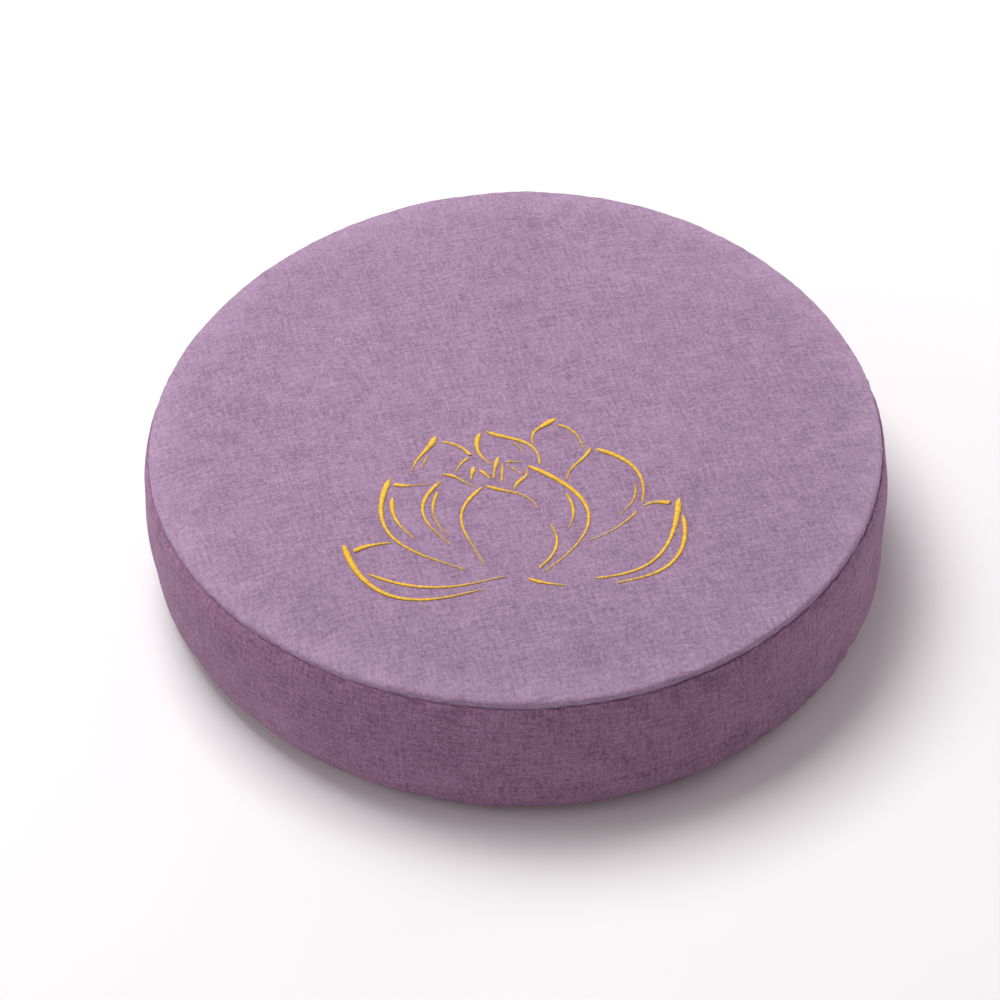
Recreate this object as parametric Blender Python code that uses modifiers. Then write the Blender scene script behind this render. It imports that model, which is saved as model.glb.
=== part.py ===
"""Round boxed floor cushion with a lotus worked in gold thread on its top panel.

The cushion is one filled solid: a flat resting face, a side band between two sewn seams, and
a softly crowned top panel that rolls over its edge down to the upper seam. The lotus is a set
of raised satin stitched lines that lie on the top panel, each line a solid of its own.

Metres, +Z up. The origin is on the resting face, under the middle of the cushion. The lotus
stands upright when it is seen from the front, which looks along +Y.
"""

import math
from collections import namedtuple

import bmesh
import bpy
import numpy as np

MM = 0.001

# Cushion sizes
DIAMETER = 400 * MM  # across the upper seam
SEAM_HEIGHT = 84 * MM  # resting face to the upper seam
CROWN = 3.5 * MM  # rise of the top panel from its edge to its middle
CROWN_FALL = 2.6  # the higher, the flatter the middle of the top panel
TOP_ROLL = 4 * MM  # radius of the top panel's rolled edge
BASE_ROLL = 13 * MM  # radius of the rolled edge at the floor
BAND_BULGE = 3.0 * MM  # how far the middle of the band stands out at the front
BULGE_SWING = 1.8 * MM  # more than that on the left (-X), less on the right
BASE_SPREAD = 1.3 * MM  # how far the foot of the band stands out past its top
SEAM_DEPTH = 1.8 * MM  # how far a seam draws the cloth in
SEAM_HALF_WIDTH = 1.4 * MM
BASE_SEAM_ANGLE = -62  # degrees below level on the lower rolled edge
RADIUS = DIAMETER / 2
BAND_EDGE = RADIUS - SEAM_DEPTH / 3  # radius of the band next to a seam

# The long shallow crease across the front of the band
CREASE_HEIGHT = 27 * MM
CREASE_DEPTH = 1.0 * MM
CREASE_REACH = 2.5 * MM  # up and down from its line
CREASE_MIDDLE = 14  # degrees from the front towards +X
CREASE_HALF_LENGTH = 30  # degrees

# Slow waves that make the rim, and the foot of the band, as uneven as a stuffed cushion's.
# A crest is in degrees from the front towards +X.
Lobe = namedtuple("Lobe", "waves height crest")
RIM_LOBES = [Lobe(2, 2.0 * MM, 43), Lobe(3, 1.7 * MM, 48), Lobe(4, 0.7 * MM, 1)]
FOOT_LOBES = [Lobe(1, 2.7 * MM, 134), Lobe(2, 3.5 * MM, -10)]

# Turned surface
TURN_STEPS = 120
CROWN_ROWS = 7
TOP_ROLL_ROWS = 5
TOP_ROLL_END = -35  # degrees below level, where the top panel turns into the seam
BASE_ROLL_ROWS = 7  # above the lower seam
BASE_ROLL_START = -12  # degrees below level
BAND_ROWS = 5  # above the crease
POLE_MERGE = 0.05 * MM

# Gold lines of the lotus
LINE_CLEARANCE = 0.3 * MM  # between the top panel and a line
LINE_LOFT = 0.36  # height of a line for each unit of its width
LINE_POINT_SPACING = 3.0 * MM
LINE_SIDES_RESOLUTION = 1  # six sides around a line

# One row for each line, in millimetres on the top panel. It runs from start to end, bows to
# its left by bow, most at the share peak of its length, and sways by sway in a slow S.
# The four widths are those at its tip, at the shoulder behind the tip, at its waist, which lies
# a third of the way on from there, and at its end.
LOTUS_PLACE = (2, -10)  # millimetres from the middle of the cushion to the lines' zero
TIP_LENGTH = 5.0  # millimetres from the tip to the shoulder
TIP_SHARE_LIMIT = 0.3  # of a short line's length
Line = namedtuple("Line", "name start end bow peak sway widths")
LOTUS_LINES = [
    Line("front_petal_left", (-19, -44), (-20, -101), -11, 0.44, -1.0, (1.2, 2.4, 1.7, 0.8)),
    Line("front_petal_top", (-17, -43), (10, -62), 3.5, 0.60, -0.6, (1.0, 2.3, 1.4, 0.7)),
    Line("front_petal_right", (16, -74), (9, -105), 6, 0.48, 0, (0.8, 1.2, 1.8, 1.4)),
    Line("left_mid_petal_side", (-41, -38), (-37, -86), -12, 0.44, 0, (1.0, 2.4, 1.8, 0.8)),
    Line("left_mid_petal_fold", (-43, -46), (-38, -78), -5, 0.50, 0, (1.2, 1.9, 1.3, 0.7)),
    Line("left_mid_petal_top", (-40, -33), (-23, -43), 1.2, 0.40, 0.5, (1.2, 2.0, 1.3, 0.8)),
    Line("right_mid_petal_side", (6, -30), (11, -108), 28, 0.50, 0, (1.4, 2.8, 2.2, 0.8)),
    Line("right_mid_petal_fold", (25, -51), (25, -78), 3.5, 0.50, 0, (1.0, 1.6, 1.8, 0.8)),
    Line("left_outer_petal_side", (-68, -34), (-30, -104), -21, 0.42, 1, (0.8, 3.6, 1.9, 0.8)),
    Line("left_outer_petal_lip", (-66, -39), (-47, -40), -1.0, 0.35, 0, (2.4, 2.2, 1.0, 0.6)),
    Line("left_outer_petal_fold", (-67, -49), (-56, -80), -4, 0.45, 0, (1.4, 2.8, 1.8, 0.8)),
    Line("right_outer_petal_left", (40, -18), (26, -41), -1, 0.60, 0.8, (1.2, 2.2, 1.5, 1.1)),
    Line("right_outer_petal_side", (43, -19), (65, -61), 10, 0.52, 0, (1.2, 2.8, 2.2, 1.1)),
    Line("right_outer_petal_fold", (62, -47), (53, -69), 3, 0.45, 0, (0.8, 1.4, 1.2, 0.7)),
    Line("right_outer_petal_foot", (62, -67), (36, -87), 2.4, 0.50, 0, (1.2, 1.4, 1.2, 0.7)),
    Line("left_low_petal_lip", (-88, -86), (-68, -82), 1.4, 0.60, 0.3, (2.6, 3.0, 1.8, 1.0)),
    Line("left_low_petal_side", (-93, -82), (-20, -118), -23, 0.45, 1, (2.2, 3.6, 2.4, 1.0)),
    Line("left_low_petal_fold", (-80, -103), (-9, -110), -8.5, 0.45, 0, (1.2, 1.8, 1.7, 0.9)),
    Line("right_low_petal_lip", (66, -63), (80, -62), 1.8, 0.45, 0, (1.3, 1.5, 1.8, 3.4)),
    Line("right_low_petal_fold", (85, -59), (38, -114), 16, 0.52, -1, (1.0, 3.8, 2.0, 1.4)),
    Line("right_low_petal_side", (86, -71), (49, -118), 15, 0.45, -1, (1.0, 2.8, 2.2, 1.2)),
    Line("base_line", (3, -112), (22, -118), -1, 0.40, 0, (1.4, 2.2, 1.6, 0.8)),
    Line("left_back_petal_side", (-43, -3), (-57, -32), -1.2, 0.60, 0.6, (0.8, 4.2, 2.0, 0.8)),
    Line("left_back_petal_fold", (-48, -18), (-52, -28), 0.3, 0.50, 0, (0.8, 1.2, 1.1, 0.7)),
    Line("left_back_petal_right", (-40, -8), (-25, -19), 2.2, 0.50, 0, (1.2, 1.5, 1.5, 2.0)),
    Line("left_back_petal_foot", (-26, -21), (-33, -31), -0.8, 0.50, 0, (1.4, 1.8, 1.4, 0.8)),
    Line("mid_back_petal_left", (-19, -2), (-14, -27), -4.5, 0.48, 0, (0.8, 3.4, 2.2, 0.8)),
    Line("mid_back_petal_right", (-16, -1), (12, -29), 7, 0.60, -0.6, (1.0, 2.2, 2.0, 1.2)),
    Line("mid_back_petal_fold", (-1, -11), (3, -19), 0.6, 0.50, 0, (0.7, 0.9, 0.9, 0.6)),
    Line("right_back_petal_left", (22, 6), (9, -13), -4, 0.55, 0.6, (0.8, 4.0, 2.0, 1.1)),
    Line("right_back_petal_right", (23, 1), (36, -18), 3.4, 0.45, 0, (1.2, 1.5, 1.5, 0.9)),
    Line("stamen_1", (-23, -28), (-25, -38), -0.4, 0.50, 0, (1.0, 2.8, 1.8, 0.9)),
    Line("stamen_2", (-20, -31), (-15, -38), 0.3, 0.50, 0, (1.6, 1.9, 1.6, 1.2)),
    Line("stamen_3", (-10, -22), (-13, -38), -0.5, 0.50, 0, (1.4, 2.8, 1.6, 1.2)),
    Line("stamen_4", (-8, -27), (-9, -41), 0.3, 0.50, 0, (1.0, 1.4, 1.5, 1.0)),
    Line("stamen_5", (-6, -26), (2, -27), 0.5, 0.50, 0, (1.2, 1.2, 1.0, 0.7)),
    Line("stamen_6", (5, -32), (-2, -48), 0.4, 0.50, 1.2, (0.8, 1.6, 2.4, 1.0)),
    Line("stamen_7", (-4, -30), (2, -36), 0.4, 0.50, 0, (0.8, 1.1, 1.0, 0.8)),
]

# Finishes, as linear colours
COVER_CLOTH = {"color": (0.36, 0.23, 0.38, 1.0), "roughness": 0.9, "metallic": 0.0}
GOLD_THREAD = {"color": (0.72, 0.44, 0.06, 1.0), "roughness": 0.45, "metallic": 0.0}


def clear_scene():
    for obj in list(bpy.data.objects):
        bpy.data.objects.remove(obj, do_unlink=True)


def make_material(name, finish):
    material = bpy.data.materials.new(name)
    material.use_nodes = True
    shader = material.node_tree.nodes["Principled BSDF"]
    shader.inputs["Base Color"].default_value = finish["color"]
    shader.inputs["Roughness"].default_value = finish["roughness"]
    shader.inputs["Metallic"].default_value = finish["metallic"]
    material.diffuse_color = finish["color"]
    return material


def angle_from_front(x, y):
    """Angle around the cushion, 0 at the front (-Y) and growing towards +X."""
    return np.arctan2(x, -y)


def waves(lobes, angle):
    """Height of a few slow waves around the cushion, added together."""
    return sum(lobe.height * np.cos(lobe.waves * (angle - math.radians(lobe.crest))) for lobe in lobes)


def band_reach(angle, height):
    """How far the band stands out from the turned section, with its crease pressed in."""
    fall = np.clip((SEAM_HEIGHT - height) / SEAM_HEIGHT, 0.0, 1.0)
    bulge = (BAND_BULGE - BULGE_SWING * np.sin(angle)) * np.sin(math.pi * fall)
    spread = (BASE_SPREAD + waves(FOOT_LOBES, angle)) * fall
    return bulge + spread - crease_depth(angle, height)


def crease_depth(angle, height):
    """How far the crease draws the band in, fading along and across its line."""
    along = (angle - math.radians(CREASE_MIDDLE)) / math.radians(CREASE_HALF_LENGTH)
    across = (height - CREASE_HEIGHT) / CREASE_REACH
    fade = np.clip(1 - along**2, 0.0, 1.0)
    return CREASE_DEPTH * fade * np.exp(-(across**2))


def outline_middle():
    """Middle of the uneven outline's bounding box, which the origin is moved to."""
    angle, height = np.meshgrid(
        np.linspace(-math.pi, math.pi, 361), np.linspace(BASE_ROLL, SEAM_HEIGHT, 15)
    )
    reach = RADIUS + waves(RIM_LOBES, angle) + band_reach(angle, height)
    x = reach * np.sin(angle)
    y = -reach * np.cos(angle)
    return (x.min() + x.max()) / 2, (y.min() + y.max()) / 2


def arc(centre, radius, start, end, rows):
    """Points on an arc in the half section, from one angle in degrees to another."""
    angles = np.radians(np.linspace(start, end, rows))
    return [(centre[0] + radius * math.cos(a), centre[1] + radius * math.sin(a)) for a in angles]


def shoulder():
    """Radius and height of the centre of the top panel's rolled edge."""
    return RADIUS - TOP_ROLL, SEAM_HEIGHT + TOP_ROLL / 2 + SEAM_HALF_WIDTH / 2


def top_height(radius):
    """Height of the top panel at a radius that lies inside its rolled edge."""
    centre_radius, centre_height = shoulder()
    return centre_height + TOP_ROLL + CROWN * (1 - (radius / centre_radius) ** CROWN_FALL)


def crown_points():
    edge = shoulder()[0]
    radii = np.linspace(0.0, edge, CROWN_ROWS + 1)[:-1]
    return [(r, top_height(r)) for r in radii]


def band_points():
    """The band from under the upper seam down to the lower rolled edge."""
    above = CREASE_HEIGHT + 2 * CREASE_REACH
    below = CREASE_HEIGHT - 2 * CREASE_REACH
    heights = list(np.linspace(SEAM_HEIGHT - SEAM_HALF_WIDTH, above, BAND_ROWS))
    heights += [CREASE_HEIGHT + step * CREASE_REACH for step in (1, 0, -1)]
    heights += [below, BASE_ROLL]
    return [(BAND_EDGE, z) for z in heights]


def base_roll_points():
    """The lower rolled edge, drawn in along the lower seam."""
    centre = (BAND_EDGE - BASE_ROLL, BASE_ROLL)
    half = math.degrees(SEAM_HALF_WIDTH / BASE_ROLL)
    above = arc(centre, BASE_ROLL, BASE_ROLL_START, BASE_SEAM_ANGLE + half, BASE_ROLL_ROWS)
    seam = arc(centre, BASE_ROLL - SEAM_DEPTH / 2, BASE_SEAM_ANGLE, BASE_SEAM_ANGLE, 1)
    below = arc(centre, BASE_ROLL, BASE_SEAM_ANGLE - half, -90, 3)
    return above + seam + below


def cushion_profile():
    """Half section, from the middle of the top panel down the side to the resting face."""
    seam = (RADIUS - SEAM_DEPTH, SEAM_HEIGHT)
    points = crown_points()
    points += arc(shoulder(), TOP_ROLL, 90, TOP_ROLL_END, TOP_ROLL_ROWS)
    points.append(seam)
    points += band_points()
    points += base_roll_points()
    points.append((0.0, 0.0))
    return points


def turned_mesh(name, profile):
    """Turn a half section around Z with a Screw modifier, as one closed mesh."""
    mesh = bpy.data.meshes.new(name + "_profile")
    vertices = [(r, 0.0, z) for r, z in profile]
    mesh.from_pydata(vertices, [(i, i + 1) for i in range(len(vertices) - 1)], [])
    source = bpy.data.objects.new(name + "_profile", mesh)
    bpy.context.scene.collection.objects.link(source)
    screw = source.modifiers.new("turn", "SCREW")
    screw.axis = "Z"
    screw.steps = TURN_STEPS
    screw.render_steps = TURN_STEPS
    screw.use_merge_vertices = True
    screw.merge_threshold = POLE_MERGE
    screw.use_smooth_shade = True
    return evaluated_mesh(source, name)


def evaluated_mesh(source, name):
    """The mesh of a curve or of an object with modifiers, which is then removed."""
    depsgraph = bpy.context.evaluated_depsgraph_get()
    mesh = bpy.data.meshes.new_from_object(source.evaluated_get(depsgraph))
    mesh.name = name
    bpy.data.objects.remove(source, do_unlink=True)
    work = bmesh.new()
    work.from_mesh(mesh)
    bmesh.ops.remove_doubles(work, verts=work.verts, dist=POLE_MERGE)
    bmesh.ops.recalc_face_normals(work, faces=work.faces)
    work.to_mesh(mesh)
    work.free()
    return mesh


def read_points(mesh):
    points = np.empty(len(mesh.vertices) * 3)
    mesh.vertices.foreach_get("co", points)
    return points.reshape(-1, 3)


def write_points(mesh, points):
    mesh.vertices.foreach_set("co", points.ravel())
    mesh.update()


def settle(points):
    """Move the points of the turned cushion to the uneven outline of a stuffed one."""
    x, y, z = points.T
    radius = np.hypot(x, y)
    angle = angle_from_front(x, y)
    share = radius / RADIUS
    radius += waves(RIM_LOBES, angle) * share**2 + band_reach(angle, z) * share
    middle_x, middle_y = outline_middle()
    return np.column_stack([radius * np.sin(angle) - middle_x, -radius * np.cos(angle) - middle_y, z])


def build_cushion(collection, material):
    mesh = turned_mesh("cushion", cushion_profile())
    write_points(mesh, settle(read_points(mesh)))
    mesh.materials.append(material)
    cushion = bpy.data.objects.new("cushion", mesh)
    collection.objects.link(cushion)
    return cushion


def swell(share, peak):
    """A bow that is 0 at both ends and 1 at the share peak."""
    rise = (share / peak) ** max(1.0, peak / (1 - peak))
    fall = ((1 - share) / (1 - peak)) ** max(1.0, (1 - peak) / peak)
    return rise * fall


def line_path(line):
    """Points and widths along a line, closer together where it starts and ends."""
    start = np.add(line.start, LOTUS_PLACE) * MM
    end = np.add(line.end, LOTUS_PLACE) * MM
    chord = end - start
    length = float(np.hypot(*chord))
    left = np.array([-chord[1], chord[0]]) / length
    travelled = length + abs(line.bow) * MM  # about the length along the bow
    count = max(5, round(travelled / LINE_POINT_SPACING) + 1)
    share = (1 - np.cos(np.linspace(0.0, math.pi, count))) / 2
    aside = line.bow * swell(share, line.peak) + line.sway * np.sin(2 * math.pi * share)
    points = start + np.outer(share, chord) + np.outer(aside * MM, left)
    shoulder_share = min(TIP_SHARE_LIMIT, TIP_LENGTH * MM / travelled)
    waist_share = shoulder_share + (1 - shoulder_share) / 3
    widths = np.interp(share, (0.0, shoulder_share, waist_share, 1.0), line.widths) * MM
    return points, widths


def line_curve(line):
    """A bevelled curve that rests on the ground plane, as thick as the line is wide."""
    points, widths = line_path(line)
    curve = bpy.data.curves.new(line.name, "CURVE")
    curve.dimensions = "3D"
    curve.bevel_depth = 1.0
    curve.bevel_resolution = LINE_SIDES_RESOLUTION
    curve.use_fill_caps = True
    spline = curve.splines.new("POLY")
    spline.points.add(len(points) - 1)
    for point, (x, y), width in zip(spline.points, points, widths):
        point.co = (x, y, width / 2, 1.0)
        point.radius = width / 2
    source = bpy.data.objects.new(line.name, curve)
    bpy.context.scene.collection.objects.link(source)
    return source


def drape(points):
    """Flatten a thread line that rests on the ground plane and lay it on the top panel."""
    x, y, z = points.T
    middle_x, middle_y = outline_middle()
    height = top_height(np.hypot(x + middle_x, y + middle_y))
    return np.column_stack([x, y, height + LINE_CLEARANCE + LINE_LOFT * z])


def build_line(collection, line, material):
    mesh = evaluated_mesh(line_curve(line), line.name)
    write_points(mesh, drape(read_points(mesh)))
    mesh.materials.clear()
    mesh.materials.append(material)
    mesh.shade_smooth()
    mesh.set_sharp_from_angle(angle=math.radians(60))
    stitched = bpy.data.objects.new(line.name, mesh)
    collection.objects.link(stitched)
    return stitched


def build():
    clear_scene()
    collection = bpy.data.collections.new("lotus_floor_cushion")
    bpy.context.scene.collection.children.link(collection)
    build_cushion(collection, make_material("cover_cloth", COVER_CLOTH))
    for line in LOTUS_LINES:
        build_line(collection, line, make_material(line.name, GOLD_THREAD))


build()
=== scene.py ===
import math
from collections import namedtuple

import bpy
import numpy as np
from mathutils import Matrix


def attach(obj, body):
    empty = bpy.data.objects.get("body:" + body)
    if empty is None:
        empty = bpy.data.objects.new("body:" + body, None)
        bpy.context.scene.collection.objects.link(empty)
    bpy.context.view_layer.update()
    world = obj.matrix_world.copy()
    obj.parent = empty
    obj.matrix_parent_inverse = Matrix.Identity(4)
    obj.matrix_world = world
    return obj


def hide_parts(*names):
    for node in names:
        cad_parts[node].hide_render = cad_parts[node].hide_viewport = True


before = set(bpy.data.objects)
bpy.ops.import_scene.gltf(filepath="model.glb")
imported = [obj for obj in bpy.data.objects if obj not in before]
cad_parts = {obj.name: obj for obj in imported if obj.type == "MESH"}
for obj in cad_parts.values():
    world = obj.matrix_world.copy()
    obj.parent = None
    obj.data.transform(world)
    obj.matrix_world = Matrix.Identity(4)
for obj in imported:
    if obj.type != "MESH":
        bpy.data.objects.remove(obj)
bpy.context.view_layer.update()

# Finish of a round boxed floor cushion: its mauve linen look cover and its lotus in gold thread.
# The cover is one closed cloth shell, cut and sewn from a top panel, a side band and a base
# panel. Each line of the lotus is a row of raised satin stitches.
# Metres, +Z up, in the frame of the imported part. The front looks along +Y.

MM = 0.001
TINY = 1e-12  # keeps a division away from zero

# Cushion sizes, which the part's source shares
RADIUS = 200 * MM
SEAM_HEIGHT = 84 * MM
BASE_ROLL = 13 * MM
BAND_BULGE = 3.0 * MM
BULGE_SWING = 1.8 * MM
BASE_SPREAD = 1.3 * MM
SEAM_DEPTH = 1.8 * MM
SEAM_HALF_WIDTH = 1.4 * MM
BASE_SEAM_ANGLE = -62
BAND_EDGE = RADIUS - SEAM_DEPTH / 3
CREASE_HEIGHT = 27 * MM
CREASE_DEPTH = 1.0 * MM
CREASE_REACH = 2.5 * MM
CREASE_MIDDLE = 14
CREASE_HALF_LENGTH = 30
Lobe = namedtuple("Lobe", "waves height crest")
RIM_LOBES = [Lobe(2, 2.0 * MM, 43), Lobe(3, 1.7 * MM, 48), Lobe(4, 0.7 * MM, 1)]
FOOT_LOBES = [Lobe(1, 2.7 * MM, 134), Lobe(2, 3.5 * MM, -10)]

# Steps around and up that the outline's middle is worked out from
OUTLINE_TURNS = 361
OUTLINE_ROWS = 15

# Finer forms of the cover, whose sewn rim lies lower and is rolled tighter than the plain solid's
CROWN = 5.5 * MM
CROWN_FALL = 3.4
TOP_ROLL = 2.5 * MM
SHOULDER_RISE = 2.2 * MM  # from the upper seam to the centre of the rolled edge
LIP_ROLL = 1.4 * MM  # rolled upper edge of the band
SEAM_PIT = 1.7 * MM  # how deep the stitching pulls the cloth between both rolled edges
TOP_ROLL_END = -50  # degrees below level, where the top panel turns into the seam
SEAM_SWAY = 0.35 * MM  # slow rise and fall of the upper seam
RIM_SAG = 0.6 * MM  # the sewn rim sinks by this all round
FRONT_SAG = 1.9 * MM  # and by this more at the front, less at the back
SAG_REACH = 28 * MM
PUCKER = 0.22 * MM  # small gathers along a seam
PIT_DROP = 0.5 * MM  # the pit lies a little under the seam's height
LIP_DROP = 0.2 * MM
LIP_START = 80  # degrees above level, where the band comes out of the pit
CREASE_SPAN = 2  # reaches to each side of the crease that have rows of their own
CREASE_CLEAR = 2.2  # reaches to each side of it without other rows
PUCKER_REACH = 5 * MM
PUCKER_WAVES = (80, 190, 16)  # fewest and most around the cushion, and how many are added
SWAY_WAVES = (3, 26, 9)
SWAY_REACH = 11 * MM
TOP_SWELL = 0.35 * MM  # soft unevenness of the top panel
TOP_SWELL_PITCH = 55 * MM
BAND_SWELL = 0.45 * MM  # soft unevenness of the band
BAND_SWELL_PITCH = 34 * MM
BAND_SWELL_STRETCH = 0.35  # the smaller, the longer its hills lie along the band
UPPER_FADE = 9 * MM  # the hills fade out as near as this to the upper seam
LOWER_FADE = 12 * MM  # and as near as this to the lower one
WAVE_COUNT = 14  # plane waves in a patch of hills
PITCH_RANGE = (0.7, 1.6)  # their lengths, for each unit of its pitch
WAVE_RISE = 1.6  # how far a sum of waves rises above its spread
JOIN_DEPTH = 1.3 * MM  # upright join of the band, at the back
JOIN_HALF_WIDTH = 0.9 * MM
JOIN_FLANK = 0.35  # rise of the cloth beside the join, for each unit of its depth
JOIN_FLANK_PLACE = 3.2 * MM
JOIN_FLANK_REACH = 2.2 * MM
JOIN_END = 2 * MM  # the join runs out this close to the upper seam
JOIN_COLUMNS = (0.45, 0.9, 1.35, 2.3)  # millimetres to each side of the join
RESTING_HEIGHT = 1 * MM  # cloth below this rests on the floor and has no gathers

# Rows of the section and steps around it
Rows = namedtuple("Rows", "crown roll lip band crease base_roll base")
COVER_ROWS = Rows(34, 12, 5, 26, 9, 9, 10)
CLOTH_ROWS = Rows(18, 4, 2, 16, 0, 5, 3)
BASE_EDGE_ROWS = 4  # under the lower seam
RIM_ROWS = 8  # rows next to the upper seam that carry no stitches
COVER_TURNS = 712
CLOTH_TURNS = 200

# Cloth simulation
SLACK = -0.012  # a negative shrink makes the cloth larger than the space it fills
PRESSURE = 4
FRAMES = 20
CLOTH_QUALITY = 6
CLOTH_MASS = 0.2
MOST_MOVE = 1.6 * MM

# Seeds of the random draws
COVER_SEED = 7
STITCH_SEED = 11

# Middles of the band and the base panel on the flat cloth, clear of the top panel around its zero
BAND_PLACE = 3.0
BASE_PLACE = -2.0
BAND_HALF_LENGTH = 4 * RADIUS  # a little more than half the way around
WEAVE_TURN = -13  # degrees, how the cloth of the top panel lies to the lotus

# One row for each line of the lotus, in millimetres, as in the part's source
LOTUS_PLACE = (2, -10)  # millimetres from the middle of the cushion to the lines' zero
TIP_LENGTH = 5.0
TIP_SHARE_LIMIT = 0.3
Line = namedtuple("Line", "name start end bow peak sway widths")
LOTUS_LINES = [
    Line("front_petal_left", (-19, -44), (-20, -101), -11, 0.44, -1.0, (1.2, 2.4, 1.7, 0.8)),
    Line("front_petal_top", (-17, -43), (10, -62), 3.5, 0.60, -0.6, (1.0, 2.3, 1.4, 0.7)),
    Line("front_petal_right", (16, -74), (9, -105), 6, 0.48, 0, (0.8, 1.2, 1.8, 1.4)),
    Line("left_mid_petal_side", (-41, -38), (-37, -86), -12, 0.44, 0, (1.0, 2.4, 1.8, 0.8)),
    Line("left_mid_petal_fold", (-43, -46), (-38, -78), -5, 0.50, 0, (1.2, 1.9, 1.3, 0.7)),
    Line("left_mid_petal_top", (-40, -33), (-23, -43), 1.2, 0.40, 0.5, (1.2, 2.0, 1.3, 0.8)),
    Line("right_mid_petal_side", (6, -30), (11, -108), 28, 0.50, 0, (1.4, 2.8, 2.2, 0.8)),
    Line("right_mid_petal_fold", (25, -51), (25, -78), 3.5, 0.50, 0, (1.0, 1.6, 1.8, 0.8)),
    Line("left_outer_petal_side", (-68, -34), (-30, -104), -21, 0.42, 1, (0.8, 3.6, 1.9, 0.8)),
    Line("left_outer_petal_lip", (-66, -39), (-47, -40), -1.0, 0.35, 0, (2.4, 2.2, 1.0, 0.6)),
    Line("left_outer_petal_fold", (-67, -49), (-56, -80), -4, 0.45, 0, (1.4, 2.8, 1.8, 0.8)),
    Line("right_outer_petal_left", (40, -18), (26, -41), -1, 0.60, 0.8, (1.2, 2.2, 1.5, 1.1)),
    Line("right_outer_petal_side", (43, -19), (65, -61), 10, 0.52, 0, (1.2, 2.8, 2.2, 1.1)),
    Line("right_outer_petal_fold", (62, -47), (53, -69), 3, 0.45, 0, (0.8, 1.4, 1.2, 0.7)),
    Line("right_outer_petal_foot", (62, -67), (36, -87), 2.4, 0.50, 0, (1.2, 1.4, 1.2, 0.7)),
    Line("left_low_petal_lip", (-88, -86), (-68, -82), 1.4, 0.60, 0.3, (2.6, 3.0, 1.8, 1.0)),
    Line("left_low_petal_side", (-93, -82), (-20, -118), -23, 0.45, 1, (2.2, 3.6, 2.4, 1.0)),
    Line("left_low_petal_fold", (-80, -103), (-9, -110), -8.5, 0.45, 0, (1.2, 1.8, 1.7, 0.9)),
    Line("right_low_petal_lip", (66, -63), (80, -62), 1.8, 0.45, 0, (1.3, 1.5, 1.8, 3.4)),
    Line("right_low_petal_fold", (85, -59), (38, -114), 16, 0.52, -1, (1.0, 3.8, 2.0, 1.4)),
    Line("right_low_petal_side", (86, -71), (49, -118), 15, 0.45, -1, (1.0, 2.8, 2.2, 1.2)),
    Line("base_line", (3, -112), (22, -118), -1, 0.40, 0, (1.4, 2.2, 1.6, 0.8)),
    Line("left_back_petal_side", (-43, -3), (-57, -32), -1.2, 0.60, 0.6, (0.8, 4.2, 2.0, 0.8)),
    Line("left_back_petal_fold", (-48, -18), (-52, -28), 0.3, 0.50, 0, (0.8, 1.2, 1.1, 0.7)),
    Line("left_back_petal_right", (-40, -8), (-25, -19), 2.2, 0.50, 0, (1.2, 1.5, 1.5, 2.0)),
    Line("left_back_petal_foot", (-26, -21), (-33, -31), -0.8, 0.50, 0, (1.4, 1.8, 1.4, 0.8)),
    Line("mid_back_petal_left", (-19, -2), (-14, -27), -4.5, 0.48, 0, (0.8, 3.4, 2.2, 0.8)),
    Line("mid_back_petal_right", (-16, -1), (12, -29), 7, 0.60, -0.6, (1.0, 2.2, 2.0, 1.2)),
    Line("mid_back_petal_fold", (-1, -11), (3, -19), 0.6, 0.50, 0, (0.7, 0.9, 0.9, 0.6)),
    Line("right_back_petal_left", (22, 6), (9, -13), -4, 0.55, 0.6, (0.8, 4.0, 2.0, 1.1)),
    Line("right_back_petal_right", (23, 1), (36, -18), 3.4, 0.45, 0, (1.2, 1.5, 1.5, 0.9)),
    Line("stamen_1", (-23, -28), (-25, -38), -0.4, 0.50, 0, (1.0, 2.8, 1.8, 0.9)),
    Line("stamen_2", (-20, -31), (-15, -38), 0.3, 0.50, 0, (1.6, 1.9, 1.6, 1.2)),
    Line("stamen_3", (-10, -22), (-13, -38), -0.5, 0.50, 0, (1.4, 2.8, 1.6, 1.2)),
    Line("stamen_4", (-8, -27), (-9, -41), 0.3, 0.50, 0, (1.0, 1.4, 1.5, 1.0)),
    Line("stamen_5", (-6, -26), (2, -27), 0.5, 0.50, 0, (1.2, 1.2, 1.0, 0.7)),
    Line("stamen_6", (5, -32), (-2, -48), 0.4, 0.50, 1.2, (0.8, 1.6, 2.4, 1.0)),
    Line("stamen_7", (-4, -30), (2, -36), 0.4, 0.50, 0, (0.8, 1.1, 1.0, 0.8)),
]

# Gold stitches
STITCH_PITCH = 0.38 * MM
THIN_PITCH = 0.20 * MM  # added where a line is thin, so that the cloth shows through
THIN_WIDTH = 1.7 * MM
THREAD_RADIUS = 0.21 * MM
STITCH_LOFT = 0.30  # height of a line for each unit of its width
STITCH_SLANT = 0.35  # how far a stitch leans along its line for each unit across it
STITCH_OVERREACH = (-0.30, 0.14)  # millimetres that a stitch ends inside or past its line's edge
STITCH_LIFT = (0.9, 1.15)  # of the loft, from one stitch to the next
STITCH_ROUND = 0.97  # below 1, so that a stitch still stands up a little at its ends
STITCH_SINK = 0.08 * MM  # into the cloth
THREAD_THICKNESS = (0.9, 1.12)  # of the radius, from one stitch to the next
THREAD_END = 0.45  # of the radius, where a stitch goes into the cloth
THREAD_FLATNESS = 0.8
STITCH_SPANS = 6
THREAD_SIDES = 5
PATH_POINTS = 240


def angle_from_front(x, y):
    """Angle around the cushion, 0 at the front (-Y) and growing towards +X."""
    return np.arctan2(x, -y)


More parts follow.
